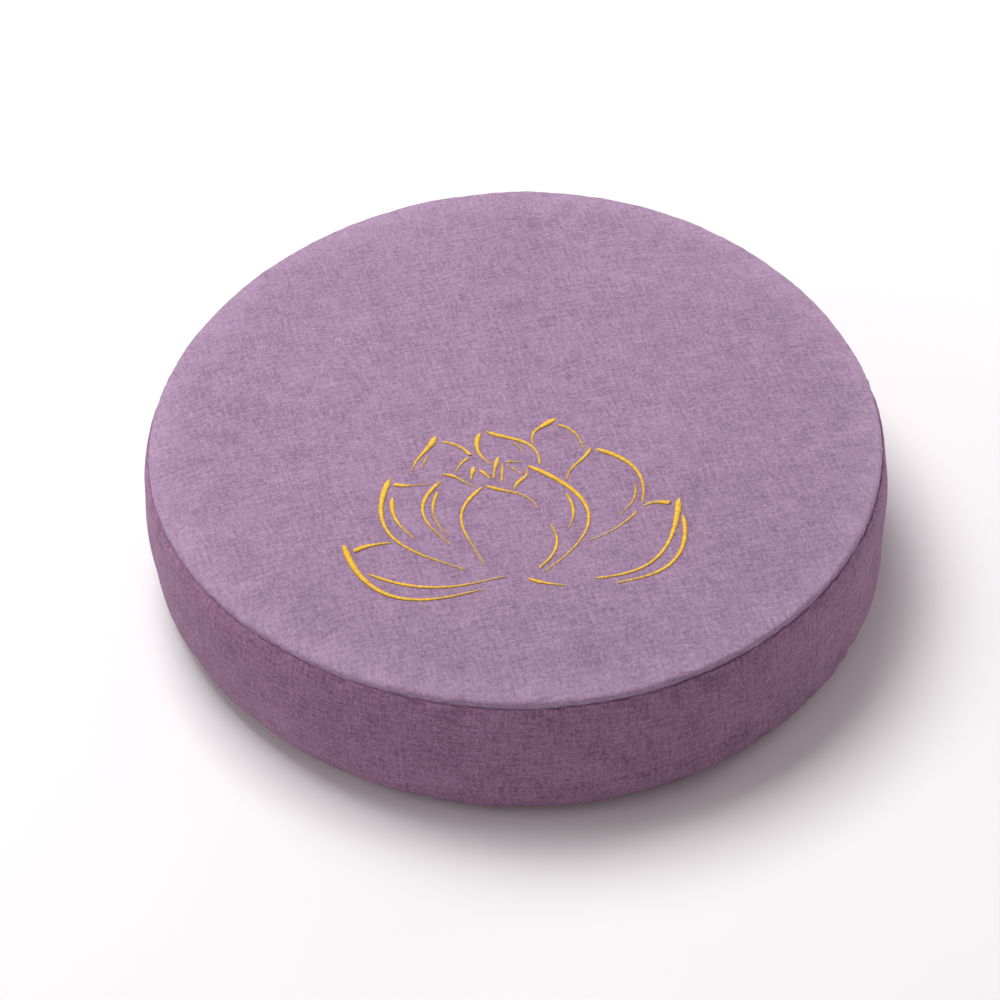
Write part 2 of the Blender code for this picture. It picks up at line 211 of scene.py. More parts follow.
def waves(lobes, angle):
    """Height of a few slow waves around the cushion, added together."""
    return sum(lobe.height * np.cos(lobe.waves * (angle - math.radians(lobe.crest))) for lobe in lobes)


def crease_depth(angle, height):
    """How far the crease draws the band in, fading along and across its line."""
    along = (angle - math.radians(CREASE_MIDDLE)) / math.radians(CREASE_HALF_LENGTH)
    across = (height - CREASE_HEIGHT) / CREASE_REACH
    return CREASE_DEPTH * np.clip(1 - along**2, 0.0, 1.0) * np.exp(-(across**2))


def band_reach(angle, height):
    """How far the band stands out: a sine bulge, a slope towards the foot, less the crease."""
    fall = np.clip((SEAM_HEIGHT - height) / SEAM_HEIGHT, 0.0, 1.0)
    bulge = (BAND_BULGE - BULGE_SWING * np.sin(angle)) * np.sin(math.pi * fall)
    spread = (BASE_SPREAD + waves(FOOT_LOBES, angle)) * fall
    return bulge + spread - crease_depth(angle, height)


def outline_middle():
    """Middle of the uneven outline's bounding box, which the origin is moved to."""
    angle, height = np.meshgrid(
        np.linspace(-math.pi, math.pi, OUTLINE_TURNS),
        np.linspace(BASE_ROLL, SEAM_HEIGHT, OUTLINE_ROWS),
    )
    reach = RADIUS + waves(RIM_LOBES, angle) + band_reach(angle, height)
    x = reach * np.sin(angle)
    y = -reach * np.cos(angle)
    return np.array([(x.min() + x.max()) / 2, (y.min() + y.max()) / 2])


MIDDLE = outline_middle()


def arc(centre, radius, start, end, rows):
    """Points on an arc in the half section, from one angle in degrees to another."""
    angles = np.radians(np.linspace(start, end, rows))
    return np.column_stack([centre[0] + radius * np.cos(angles), centre[1] + radius * np.sin(angles)])


def shoulder():
    """Radius and height of the centre of the top panel's rolled edge."""
    return RADIUS - TOP_ROLL, SEAM_HEIGHT + SHOULDER_RISE


def top_height(radius):
    """Height of the top panel: a crown that falls with a power of the radius."""
    centre_radius, centre_height = shoulder()
    return centre_height + TOP_ROLL + CROWN * (1 - (radius / centre_radius) ** CROWN_FALL)


Section = namedtuple("Section", "points length upper_seam lower_seam")


def half_section(rows):
    """Radius and height from the middle of the top panel down the side to the middle of the base.

    A power curve for the crown, arcs for the rolled edges, a pit for each seam, and straight
    lines between them. The length is measured along the cloth.
    """
    edge = shoulder()[0]
    radii = np.linspace(0.0, edge, rows.crown + 1)[:-1]
    crown = np.column_stack([radii, top_height(radii)])
    roll = arc(shoulder(), TOP_ROLL, 90, TOP_ROLL_END, rows.roll)
    pit = [(RADIUS - SEAM_PIT, SEAM_HEIGHT - PIT_DROP)]
    lip_centre = (BAND_EDGE - LIP_ROLL, SEAM_HEIGHT - PIT_DROP - LIP_DROP - LIP_ROLL)
    lip = arc(lip_centre, LIP_ROLL, LIP_START, 0, rows.lip)
    heights = np.linspace(lip_centre[1], BASE_ROLL, rows.band + 2)[1:-1]
    if rows.crease:
        crease = CREASE_HEIGHT + np.linspace(-CREASE_SPAN, CREASE_SPAN, rows.crease) * CREASE_REACH
        outside = heights[np.abs(heights - CREASE_HEIGHT) > CREASE_CLEAR * CREASE_REACH]
        heights = np.sort(np.concatenate([outside, crease]))[::-1]
    band = np.column_stack([np.full(len(heights), BAND_EDGE), heights])
    centre = (BAND_EDGE - BASE_ROLL, BASE_ROLL)
    half = math.degrees(SEAM_HALF_WIDTH / BASE_ROLL)
    above = arc(centre, BASE_ROLL, 0, BASE_SEAM_ANGLE + half, rows.base_roll)
    seam = arc(centre, BASE_ROLL - SEAM_DEPTH / 2, BASE_SEAM_ANGLE, BASE_SEAM_ANGLE, 1)
    below = arc(centre, BASE_ROLL, BASE_SEAM_ANGLE - half, -90, BASE_EDGE_ROWS)
    base = np.column_stack([np.linspace(centre[0], 0.0, rows.base + 1)[1:], np.zeros(rows.base)])
    points = np.vstack([crown, roll, pit, lip, band, above, seam, below, base])
    steps = np.hypot(*np.diff(points, axis=0).T)
    length = np.concatenate([[0.0], np.cumsum(steps)])
    upper = len(crown) + len(roll)
    lower = upper + 1 + len(lip) + len(band) + len(above)
    return Section(points, length, upper, lower)


def placed(section, angles):
    """Grid of points: the section turned around Z and moved to the uneven outline."""
    radius, height = section.points.T[:, :, None]
    angle = angles[None, :]
    share = radius / RADIUS
    reach = radius + waves(RIM_LOBES, angle) * share**2 + band_reach(angle, height) * share
    x = reach * np.sin(angle) - MIDDLE[0]
    y = -reach * np.cos(angle) - MIDDLE[1]
    return np.stack([x, y, height + 0 * angle], axis=-1)


def outward(grid):
    """Unit normals of a grid, from the cross product of its steps down and around."""
    down = np.gradient(grid, axis=0)
    around = np.roll(grid, -1, axis=1) - np.roll(grid, 1, axis=1)
    normal = np.cross(down, around)
    size = np.linalg.norm(normal, axis=-1, keepdims=True)
    flat = np.array([0.0, 0.0, 1.0]) * np.where(np.arange(len(grid)) < len(grid) / 2, 1, -1)[:, None, None]
    return np.where(size > 0, normal / np.maximum(size, TINY), flat)


def grid_faces(rows, turns):
    """Corners (row, column) of a closed shell's faces, quads between two triangle fans."""
    row, column = np.meshgrid(np.arange(1, rows - 2), np.arange(turns), indexing="ij")
    row = row.ravel()
    column = column.ravel()
    quads = np.stack([[row, column], [row + 1, column], [row + 1, column + 1], [row, column + 1]], axis=-1)
    step = np.arange(turns)
    one = np.ones(turns, int)
    last = rows - 1
    top = np.stack([[0 * one, step], [one, step], [one, step + 1]], axis=-1)
    base = np.stack([[last * one, step], [(last - 1) * one, step + 1], [(last - 1) * one, step]], axis=-1)
    return quads, top, base


def shell_mesh(name, grid, uv=None):
    """Closed mesh of a grid of rows around Z, whose first and last rows are single points.

    A uv function gives the place on the flat cloth of a corner (row, column) of a face.
    """
    rows, turns = grid.shape[:2]
    points = np.vstack([grid[0, :1], grid[1:-1].reshape(-1, 3), grid[-1, :1]])
    faces = []
    places = []
    for corners in grid_faces(rows, turns):
        row, column = corners
        index = 1 + (row - 1) * turns + column % turns
        index[row == 0] = 0
        index[row == rows - 1] = len(points) - 1
        faces += index.tolist()
        if uv:
            places.append(uv(row, column).reshape(-1, 2))
    mesh = bpy.data.meshes.new(name)
    mesh.from_pydata(points, [], faces)
    if uv:
        layer = mesh.uv_layers.new(name="cloth")
        layer.data.foreach_set("uv", np.vstack(places).ravel())
    mesh.shade_smooth()
    mesh.update()
    return mesh


def add_object(name, mesh):
    obj = bpy.data.objects.new(name, mesh)
    bpy.context.scene.collection.objects.link(obj)
    return obj


def wide_fade(distance, reach):
    """A bell curve: 1 at no distance, nearly 0 at twice the reach."""
    return np.exp(-((distance / reach) ** 2))


def simulated_move(section, angles):
    """Where Blender's cloth moves a slack cover that pressure fills and its seams hold.

    The move of each point is limited softly, and returned as a grid of vectors.
    """
    grid = placed(section, angles)
    mesh = shell_mesh("slack_cover", grid)
    slack = add_object("slack_cover", mesh)
    pins = slack.vertex_groups.new(name="sewn")
    rows, turns = grid.shape[:2]
    held = [section.upper_seam, *range(section.lower_seam, rows - 1)]
    numbers = np.concatenate([1 + (row - 1) * turns + np.arange(turns) for row in held])
    pins.add(numbers.tolist() + [len(mesh.vertices) - 1], 1.0, "REPLACE")
    cloth = slack.modifiers.new("cloth", "CLOTH")
    settings = cloth.settings
    settings.quality = CLOTH_QUALITY
    settings.mass = CLOTH_MASS
    settings.use_pressure = True
    settings.uniform_pressure_force = PRESSURE
    settings.shrink_min = SLACK
    settings.vertex_group_mass = pins.name
    settings.effector_weights.gravity = 0
    for frame_number in range(1, FRAMES + 1):
        bpy.context.scene.frame_set(frame_number)
    moved = slack.evaluated_get(bpy.context.evaluated_depsgraph_get()).to_mesh()
    points = np.empty(len(moved.vertices) * 3)
    moved.vertices.foreach_get("co", points)
    points = points.reshape(-1, 3)
    inner = points[1:-1].reshape(rows - 2, turns, 3)
    first = np.repeat(points[None, :1], turns, axis=1)
    last = np.repeat(points[None, -1:], turns, axis=1)
    move = np.concatenate([first, inner, last]) - grid
    bpy.data.objects.remove(slack, do_unlink=True)
    bpy.data.meshes.remove(mesh)
    bpy.context.scene.frame_set(1)
    size = np.linalg.norm(move, axis=-1, keepdims=True)
    return move * MOST_MOVE * np.tanh(size / MOST_MOVE) / np.maximum(size, TINY)


def cubic_weights(old, new):
    """Matrix that carries values at the old places to the new ones along a smooth curve."""
    spot = np.clip(np.searchsorted(old, new, side="right") - 1, 0, len(old) - 2)
    part = (new - old[spot]) / (old[spot + 1] - old[spot])
    weights = (
        -0.5 * part + part**2 - 0.5 * part**3,
        1 - 2.5 * part**2 + 1.5 * part**3,
        0.5 * part + 2 * part**2 - 1.5 * part**3,
        -0.5 * part**2 + 0.5 * part**3,
    )
    matrix = np.zeros((len(new), len(old)))
    for step, weight in enumerate(weights):
        column = np.clip(spot + step - 1, 0, len(old) - 1)
        np.add.at(matrix, (np.arange(len(new)), column), weight)
    return matrix


def settled_move(section, angles):
    """The simulated move, carried from the coarse cloth to the grid of the cover."""
    coarse = half_section(CLOTH_ROWS)
    step = 2 * math.pi / CLOTH_TURNS
    turns = np.arange(CLOTH_TURNS) * step - math.pi
    move = simulated_move(coarse, turns)
    wrap = 2
    turns = np.concatenate([turns[-wrap:] - 2 * math.pi, turns, turns[:wrap] + 2 * math.pi])
    move = np.concatenate([move[:, -wrap:], move, move[:, :wrap]], axis=1)
    down = cubic_weights(coarse.length, section.length * coarse.length[-1] / section.length[-1])
    around = cubic_weights(turns, angles)
    return np.einsum("ij,jkc,lk->ilc", down, move, around)


def ripples(random, place, lowest, highest, count):
    """A sum of cosines of random pitch and phase along a closed turn, about 1 high."""
    total = 0
    for _ in range(count):
        total = total + np.cos(random.integers(lowest, highest) * place + random.uniform(0, 2 * math.pi))
    return total / math.sqrt(count / 2) / WAVE_RISE


def swell(random, x, y, pitch):
    """Soft hills: a sum of plane waves in all directions, about as long as the pitch."""
    total = 0
    for _ in range(WAVE_COUNT):
        turn = random.uniform(0, 2 * math.pi)
        number = 2 * math.pi / (pitch * random.uniform(*PITCH_RANGE))
        along = x * math.cos(turn) + y * math.sin(turn)
        total = total + np.cos(number * along + random.uniform(0, 2 * math.pi))
    return total / math.sqrt(WAVE_COUNT / 2) / WAVE_RISE


def uneven(section, grid, angles):
    """The small uneven forms of a sewn cover, as a grid of moves.

    Soft hills on the top panel and the band, a slow sway and a sag of the upper seam, gathers
    that fade away from both seams, and the pit of the band's upright join.
    """
    random = np.random.default_rng(COVER_SEED)
    row = np.arange(len(section.points))
    to_upper = np.abs(section.length - section.length[section.upper_seam])[:, None]
    to_lower = np.abs(section.length - section.length[section.lower_seam])[:, None]
    on_top = (row < section.upper_seam)[:, None]
    on_band = ((row > section.upper_seam) & (row < section.lower_seam))[:, None]
    apart = 1 - wide_fade(to_upper, UPPER_FADE)
    height = grid[..., 2]
    hills = TOP_SWELL * swell(random, grid[..., 0], grid[..., 1], TOP_SWELL_PITCH) * on_top * apart
    along = angles[None, :] * RADIUS * BAND_SWELL_STRETCH
    folds = BAND_SWELL * swell(random, along, height, BAND_SWELL_PITCH) * on_band
    folds = folds * apart * (1 - wide_fade(to_lower, LOWER_FADE))
    sway = SEAM_SWAY * ripples(random, angles, *SWAY_WAVES)[None, :] * wide_fade(to_upper, SWAY_REACH)
    above = PUCKER * ripples(random, angles, *PUCKER_WAVES)[None, :]
    below = PUCKER * ripples(random, angles, *PUCKER_WAVES)[None, :]
    near = wide_fade(to_upper, PUCKER_REACH)
    gathers = above * near * on_top + below * (near * on_band + wide_fade(to_lower, PUCKER_REACH))
    off_join = (math.pi - np.abs(angles))[None, :] * RADIUS
    flank = JOIN_FLANK * wide_fade(off_join - JOIN_FLANK_PLACE, JOIN_FLANK_REACH)
    join = wide_fade(off_join, JOIN_HALF_WIDTH) - flank
    join = JOIN_DEPTH * join * on_band * (1 - wide_fade(to_upper, JOIN_END))
    lift = hills + folds + gathers * (height > RESTING_HEIGHT) - join
    move = outward(grid) * lift[..., None]
    sag = (RIM_SAG + FRONT_SAG * np.cos(angles))[None, :] * wide_fade(to_upper, SAG_REACH)
    move[..., 2] += sway - sag
    return move


def cover_angles():
    """Even steps around the cushion, and closer ones beside the upright join at the back."""
    even = np.linspace(-math.pi, math.pi, COVER_TURNS + 1)[:-1]
    close = np.array(JOIN_COLUMNS) * MM / RADIUS
    return np.sort(np.concatenate([even, -math.pi + close, math.pi - close]))


def flat_cloth(section, angles):
    """Place on the flat cloth of each corner of the grid, in metres, for the panel that it is on."""
    turn = math.radians(WEAVE_TURN)
    around = np.append(angles, math.pi)
    length = section.length
    total = length[-1]
    seam = length[section.upper_seam]

    def place(row, column):
        angle = around[column]
        panel = np.min(row, axis=1, keepdims=True)
        run = length[row]
        disc = np.stack([np.sin(angle + turn), -np.cos(angle + turn)], axis=-1)
        top = run[..., None] * disc
        band = np.stack([angle * RADIUS + BAND_PLACE, seam - run], axis=-1)
        base = (total - run)[..., None] * disc + BASE_PLACE
        on_top = (panel < section.upper_seam)[..., None]
        on_band = (panel < section.lower_seam)[..., None]
        return np.where(on_top, top, np.where(on_band, band, base))

    return place


def build_cover():
    """The cover: the turned section, moved by the simulation and by the small uneven forms."""
    section = half_section(COVER_ROWS)
    angles = cover_angles()
    grid = placed(section, angles)
    grid = grid + settled_move(section, angles)
    grid = grid + uneven(section, grid, angles)
    grid[0] = grid[0].mean(axis=0)
    grid[-1] = grid[-1].mean(axis=0)
    grid[..., 2] = np.maximum(grid[..., 2], 0.0)
    mesh = shell_mesh("cushion_cover", grid, flat_cloth(section, angles))
    return add_object("cushion_cover", mesh), grid, section, angles


class CoverHeight:
    """Height of the cover's top panel over a place, from the grid's rows and columns."""

    def __init__(self, grid, section, angles):
        rows = section.upper_seam - RIM_ROWS
        self.height = grid[:rows, :, 2]
        self.radii = section.points[:rows, 0]
        self.angles = angles

    def __call__(self, x, y):
        x = x + MIDDLE[0]
        y = y + MIDDLE[1]
        row = np.interp(np.hypot(x, y), self.radii, np.arange(len(self.radii)))
        column = np.interp(angle_from_front(x, y), self.angles, np.arange(len(self.angles)))
        r = np.minimum(row.astype(int), len(self.radii) - 2)
        c = np.minimum(column.astype(int), len(self.angles) - 2)
        down = row - r
        around = column - c
        upper = self.height[r, c] * (1 - around) + self.height[r, c + 1] * around
        lower = self.height[r + 1, c] * (1 - around) + self.height[r + 1, c + 1] * around
        return upper * (1 - down) + lower * down


def bow_shape(share, peak):
    """A bow that is 0 at both ends and 1 at the share peak."""
    rise = (share / peak) ** max(1.0, peak / (1 - peak))
    fall = ((1 - share) / (1 - peak)) ** max(1.0, (1 - peak) / peak)
    return rise * fall


def line_path(line):
    """Points and widths along a line: its chord, bowed to the left and swayed in an S."""
    start = np.add(line.start, LOTUS_PLACE) * MM
    end = np.add(line.end, LOTUS_PLACE) * MM
    chord = end - start
    length = float(np.hypot(*chord))
    left = np.array([-chord[1], chord[0]]) / length
    travelled = length + abs(line.bow) * MM
    share = np.linspace(0.0, 1.0, PATH_POINTS)
    aside = line.bow * bow_shape(share, line.peak) + line.sway * np.sin(2 * math.pi * share)
    points = start + np.outer(share, chord) + np.outer(aside * MM, left)
    shoulder_share = min(TIP_SHARE_LIMIT, TIP_LENGTH * MM / travelled)
    waist_share = shoulder_share + (1 - shoulder_share) / 3
    widths = np.interp(share, (0.0, shoulder_share, waist_share, 1.0), line.widths) * MM
    return points, widths


def stitch_places(points, widths):
    """Evenly worked places along a line, wider apart where the line is thin."""
    run = np.concatenate([[0.0], np.cumsum(np.hypot(*np.diff(points, axis=0).T))])
    pitch = STITCH_PITCH + THIN_PITCH * np.clip((THIN_WIDTH - widths) / THIN_WIDTH * 2, 0.0, 1.0)
    count = np.concatenate([[0.0], np.cumsum(np.diff(run) / pitch[1:])])
    worked = np.arange(0.5, count[-1], 1.0)
    return np.interp(worked, count, run), run


def tube_faces(tubes, rings, sides):
    """Corner numbers of many closed tubes: quads around each, and an end face at both ends."""
    ring, side = np.meshgrid(np.arange(rings - 1), np.arange(sides), indexing="ij")
    after = (side + 1) % sides
    quad = np.stack([ring * sides + side, ring * sides + after], axis=-1)
    quad = np.concatenate([quad, quad[..., ::-1] + sides], axis=-1).reshape(-1, 4)
    first = np.arange(sides)[::-1]
    last = np.arange(sides) + (rings - 1) * sides
    start = (np.arange(tubes) * rings * sides)[:, None, None]
    quads = (start + quad[None]).reshape(-1, 4)
    ends = (start + np.stack([first, last])[None]).reshape(-1, sides)
    return quads, ends


def stitched_mesh(line, cover_height, random):
    """Satin stitches of one line: each a thread bent over the line in a half ellipse.

    Threads lie side by side along the line's path and lean a little. Their length follows the
    line's width, and their ends dip into the cloth.
    """
    points, widths = line_path(line)
    places, run = stitch_places(points, widths)
    tangent = np.gradient(points, axis=0)
    tangent /= np.linalg.norm(tangent, axis=1, keepdims=True)
    middle = np.column_stack([np.interp(places, run, points[:, k]) for k in (0, 1)])
    ahead = np.column_stack([np.interp(places, run, tangent[:, k]) for k in (0, 1)])
    ahead /= np.linalg.norm(ahead, axis=1, keepdims=True)
    left = np.column_stack([-ahead[:, 1], ahead[:, 0]])
    width = np.interp(places, run, widths)
    tubes = len(places)
    reach = width / 2 + random.uniform(*STITCH_OVERREACH, tubes) * MM
    across = np.sin(np.linspace(-math.pi / 2, math.pi / 2, STITCH_SPANS + 1))
    spine = middle[:, None] + left[:, None] * (reach[:, None] * across)[..., None]
    spine = spine + ahead[:, None] * (STITCH_SLANT * reach[:, None] * across)[..., None]
    lift = STITCH_LOFT * width * random.uniform(*STITCH_LIFT, tubes)
    rise = lift[:, None] * np.sqrt(1 - STITCH_ROUND * across**2) - STITCH_SINK
    height = cover_height(spine[..., 0], spine[..., 1]) + rise
    turn = np.linspace(0, 2 * math.pi, THREAD_SIDES + 1)[:-1]
    taper = np.ones(len(across))
    taper[[0, -1]] = THREAD_END
    thick = THREAD_RADIUS * random.uniform(*THREAD_THICKNESS, tubes)[:, None, None]
    thick = thick * taper[None, :, None]
    side = ahead[:, None, None] * (thick * np.cos(turn))[..., None]
    ring_xy = spine[:, :, None] + side
    ring_z = height[..., None] + thick * np.sin(turn) * THREAD_FLATNESS + THREAD_RADIUS
    vertices = np.concatenate([ring_xy, ring_z[..., None]], axis=-1).reshape(-1, 3)
    quads, ends = tube_faces(tubes, len(across), THREAD_SIDES)
    mesh = bpy.data.meshes.new("stitched_" + line.name)
    mesh.from_pydata(vertices, [], quads.tolist() + ends.tolist())
    mesh.shade_smooth()
    tone = np.repeat(random.uniform(0, 1, tubes), len(across) * THREAD_SIDES)
    mesh.attributes.new("thread_tone", "FLOAT", "POINT").data.foreach_set("value", tone)
    mesh.update()
    return mesh


class Wire:
    """A node's output: each operator on it adds one Math node."""

    def __init__(self, finish, socket):
        self.finish = finish
        self.socket = socket

    def apply(self, operation, *values):
        return self.finish.node("ShaderNodeMath", {"operation": operation}, dict(enumerate(values)))

    def __add__(self, other):
        return self.apply("ADD", self, other)

    __radd__ = __add__

    def __sub__(self, other):
        return self.apply("SUBTRACT", self, other)

    def __rsub__(self, other):
        return self.apply("SUBTRACT", other, self)

    def __mul__(self, other):
        return self.apply("MULTIPLY", self, other)

    __rmul__ = __mul__

    def __truediv__(self, other):
        return self.apply("DIVIDE", self, other)

    def __rtruediv__(self, other):
        return self.apply("DIVIDE", other, self)

    def __pow__(self, other):
        return self.apply("POWER", self, other)

    def __mod__(self, other):
        return self.apply("FLOORED_MODULO", self, other)

    def output(self, key):
        """Another output of the same node."""
        return Wire(self.finish, self.socket.node.outputs[key])

    def over(self, limit):
        return self.apply("GREATER_THAN", self, limit)

    def floor(self):
        return self.apply("FLOOR", self)

    def fraction(self):
        return self.apply("FRACT", self)

    def size(self):
        return self.apply("ABSOLUTE", self)


class Finish:
    """One material and the nodes that make it."""

    def __init__(self, name):
        self.material = bpy.data.materials.new(name)
        self.material.use_nodes = True
        self.tree = self.material.node_tree
        self.shader = self.tree.nodes["Principled BSDF"]

    def node(self, kind, settings=None, inputs=None, output=0):
        """A node of a type, with its settings set first, then its sockets' values or links."""
        node = self.tree.nodes.new(kind)
        for name, value in (settings or {}).items():
            setattr(node, name, value)
        for key, value in (inputs or {}).items():
            self.feed(node.inputs[key], value)
        return Wire(self, node.outputs[output])

    def feed(self, socket, value):
        if isinstance(value, Wire):
            self.tree.links.new(value.socket, socket)
        else:
            socket.default_value = value

    def set(self, values):
        """Numbers and colours that are the same all over, on the shader's own sockets."""
        for name, value in values.items():
            self.shader.inputs[name].default_value = value

    def mix(self, factor, first, second, blend="MIX"):
        """A colour between two others, or the first one blended with the second."""
        # This node has sockets of the same name for numbers, so its colours go by their place
        settings = {"data_type": "RGBA", "blend_type": blend, "clamp_factor": True}
        return self.node("ShaderNodeMix", settings, {0: factor, 6: first, 7: second}, output=2)

    def noise(self, place, scale, detail=1.0, roughness=0.5):
        """Smooth noise from 0 to 1 on a plane of places."""
        inputs = {"Vector": place, "Scale": scale, "Detail": detail, "Roughness": roughness}
        return self.node("ShaderNodeTexNoise", {"noise_dimensions": "2D"}, inputs)

    def vector(self, x, y):
        return self.node("ShaderNodeCombineXYZ", {}, {"X": x, "Y": y})


def linear(red, green, blue):
    """A colour given on the 0 to 255 scale of a screen, as light."""
    values = [((c / 255 + 0.055) / 1.055) ** 2.4 for c in (red, green, blue)]
    return (*values, 1.0)


# Cloth, in millimetres on the flat cloth
THREAD_PITCH = 0.72
STREAK_LENGTH = 4.0
THREAD_ROUND = 2.2  # the higher, the flatter a thread's back
WARP_SEED = 3.1
WEFT_SEED = 41.7
STREAK_STEP = 1.73  # from one thread to the next in the noise, so that their streaks differ
SLUB_WIDTH = 1.9
SLUB_LENGTH = 16.0
SPECK_SIZE = 1.9
CLOUD_SIZE = 14.0
PATCH_SIZE = 60.0
TOP_PANEL_REACH = 220.0  # more than the top panel's flat radius, less than the way to the band
# Painted highlight: the top panel's rolled edge is made lighter, as where it catches the light; from and
# full radius on the flat cloth in millimetres, and how much lighter
RIM_HIGHLIGHT_FROM = 172.0
RIM_HIGHLIGHT_FULL = 198.0
RIM_HIGHLIGHT_LIGHTER = 0.2
# How much each of these changes the tone, which is 0.5 on average
STRAND_SHARE = 1.15
SLUB_SHARE = 0.80
SPECK_SHARE = 0.62
CLOUD_SHARE = 0.30
PATCH_SHARE = 0.16
TONE_SURPLUS = (STRAND_SHARE + SLUB_SHARE + SPECK_SHARE + CLOUD_SHARE + PATCH_SHARE) / 2 - 0.5
BAND_CONTRAST = 0.35  # added on the band
RELIEF_ROUND = 0.6
RELIEF_SLUB = 0.8
RELIEF_STRAND = 0.3
RELIEF_HEIGHT = 0.16 * MM
CLOTH_SURFACE = {
    "Roughness": 0.88,
    "Specular IOR Level": 0.25,
    "Sheen Weight": 0.18,
    "Sheen Roughness": 0.45,
    "Sheen Tint": (0.92, 0.80, 0.95, 1.0),
}
CLOTH_DARK = linear(122, 94, 124)
CLOTH_LIGHT = linear(179, 151, 180)
BAND_PAINTED_SHADE = (0.89, 0.70, 0.78, 1.0)  # painted shade and warm bounce light: the band is made darker and redder than the top panel


def thread_set(finish, across, along, seed):
    """Tone and thickness of one set of threads: each thread's own, changing along its length."""
    number = (across / THREAD_PITCH).floor()
    streak_place = finish.vector(number * STREAK_STEP + seed, along / STREAK_LENGTH)
    streak = finish.noise(streak_place, 1.0, detail=2.0, roughness=0.6)
    slub = finish.noise(finish.vector(across / SLUB_WIDTH + seed, along / SLUB_LENGTH), 1.0)
    profile = 1 - ((across / THREAD_PITCH).fraction() * 2 - 1).size() ** THREAD_ROUND
    return number, streak, slub, profile


def rim_painted_highlight(finish, place):
    """1 on the top panel's rolled edge, whose lighter tone is a painted highlight where the edge catches
    the light, fading to 0 towards its middle.
    """
    run = finish.node("ShaderNodeVectorMath", {"operation": "LENGTH"}, {0: place}, output="Value")
    inputs = {"Value": run, "From Min": RIM_HIGHLIGHT_FROM, "From Max": RIM_HIGHLIGHT_FULL, "To Min": 0.0, "To Max": 1.0}
    rise = finish.node("ShaderNodeMapRange", {"interpolation_type": "SMOOTHSTEP"}, inputs)
    return rise * (1 - run.over(TOP_PANEL_REACH))


def cloth_finish():
    """Melange plain weave: two sets of threads over and under, slubs, and clouds of tone."""
    finish = Finish("mauve_linen_cloth")
    place = finish.node("ShaderNodeUVMap", {"uv_map": "cloth"})
    scaled = finish.node("ShaderNodeVectorMath", {"operation": "SCALE"}, {0: place, "Scale": 1 / MM})
    x = finish.node("ShaderNodeSeparateXYZ", {}, {0: scaled})
    y = x.output("Y")
    warp_number, warp, warp_slub, warp_round = thread_set(finish, x, y, WARP_SEED)
    weft_number, weft, weft_slub, weft_round = thread_set(finish, y, x, WEFT_SEED)
    over = (warp_number + weft_number) % 2
    on_band = 1 - (x * MM - BAND_PLACE).size().over(BAND_HALF_LENGTH)
    strand = warp * over + weft * (1 - over)
    slubs = warp_slub * 0.5 + weft_slub * 0.5
    cloud = finish.noise(scaled, 1 / CLOUD_SIZE, detail=2.0)
    patch = finish.noise(scaled, 1 / PATCH_SIZE)
    speck = finish.noise(scaled, 1 / SPECK_SIZE)
    tone = strand * STRAND_SHARE + slubs * SLUB_SHARE + speck * SPECK_SHARE
    tone = tone + cloud * CLOUD_SHARE + patch * PATCH_SHARE - TONE_SURPLUS
    tone = (tone - 0.5) * (1 + on_band * BAND_CONTRAST) + 0.5
    # Painted highlight on the top panel's rolled edge
    tone = tone + rim_painted_highlight(finish, scaled) * RIM_HIGHLIGHT_LIGHTER
    colour = finish.mix(tone, CLOTH_DARK, CLOTH_LIGHT)
    # Painted shade: the band's colour is made darker and redder, as where it lies in shade and takes warm
    # bounce light
    band_shaded_colour = finish.mix(on_band, colour, BAND_PAINTED_SHADE, blend="MULTIPLY")
    finish.feed(finish.shader.inputs["Base Color"], band_shaded_colour)
    finish.set(CLOTH_SURFACE)
    backs = warp_round * over + weft_round * (1 - over)
    relief = backs * RELIEF_ROUND + slubs * RELIEF_SLUB + strand * RELIEF_STRAND
    inputs = {"Strength": 1.0, "Distance": RELIEF_HEIGHT, "Height": relief}
    bump = finish.node("ShaderNodeBump", {}, inputs)
    finish.feed(finish.shader.inputs["Normal"], bump)
    return finish.material


GOLD_DEEP = linear(234, 176, 24)
GOLD_LIGHT = linear(254, 216, 68)
GOLD_SURFACE = {"Roughness": 0.42, "Specular IOR Level": 0.5, "Sheen Weight": 0.1}


def gold_finish():
    """Glossy gold thread: each stitch a little lighter or deeper than the next."""
    finish = Finish("gold_thread")
    tone = finish.node("ShaderNodeAttribute", {"attribute_name": "thread_tone"}, output="Fac")
    colour = finish.mix(tone, GOLD_DEEP, GOLD_LIGHT)
    finish.feed(finish.shader.inputs["Base Color"], colour)
    finish.set(GOLD_SURFACE)
    return finish.material


FLOOR_HALF = 4.0
FLOOR_SURFACE = {
    "Base Color": (0.86, 0.86, 0.86, 1.0),
    "Roughness": 0.95,
    "Specular IOR Level": 0.1,
}


def pale_floor():
    """A wide plain floor under the cushion."""
    sides = ((-1, -1), (1, -1), (1, 1), (-1, 1))
    corners = [(x * FLOOR_HALF, y * FLOOR_HALF, 0.0) for x, y in sides]
    mesh = bpy.data.meshes.new("studio_floor")
    mesh.from_pydata(corners, [], [(0, 1, 2, 3)])
    finish = Finish("pale_floor")
    finish.set(FLOOR_SURFACE)
    mesh.materials.append(finish.material)
    floor = add_object("studio_floor", mesh)


# Studio lights: the main one above and behind, and two weak warm ones for the sides of the band
Light = namedtuple("Light", "name place power size colour")
STUDIO_LIGHTS = [
    Light("key_light", (-0.6, 0.8, 2.3), 58.5, 1.4, (1.0, 1.0, 1.0)),
    Light("left_light", (-2.0, -0.3, 1.2), 8, 1.2, (1.0, 0.93, 0.95)),
    Light("right_light", (1.6, 1.0, 0.5), 7, 0.6, (1.0, 0.88, 0.90)),
]
ROOM_COLOUR = (1.0, 0.91, 0.93, 1.0)
ROOM_STRENGTH = 0.35


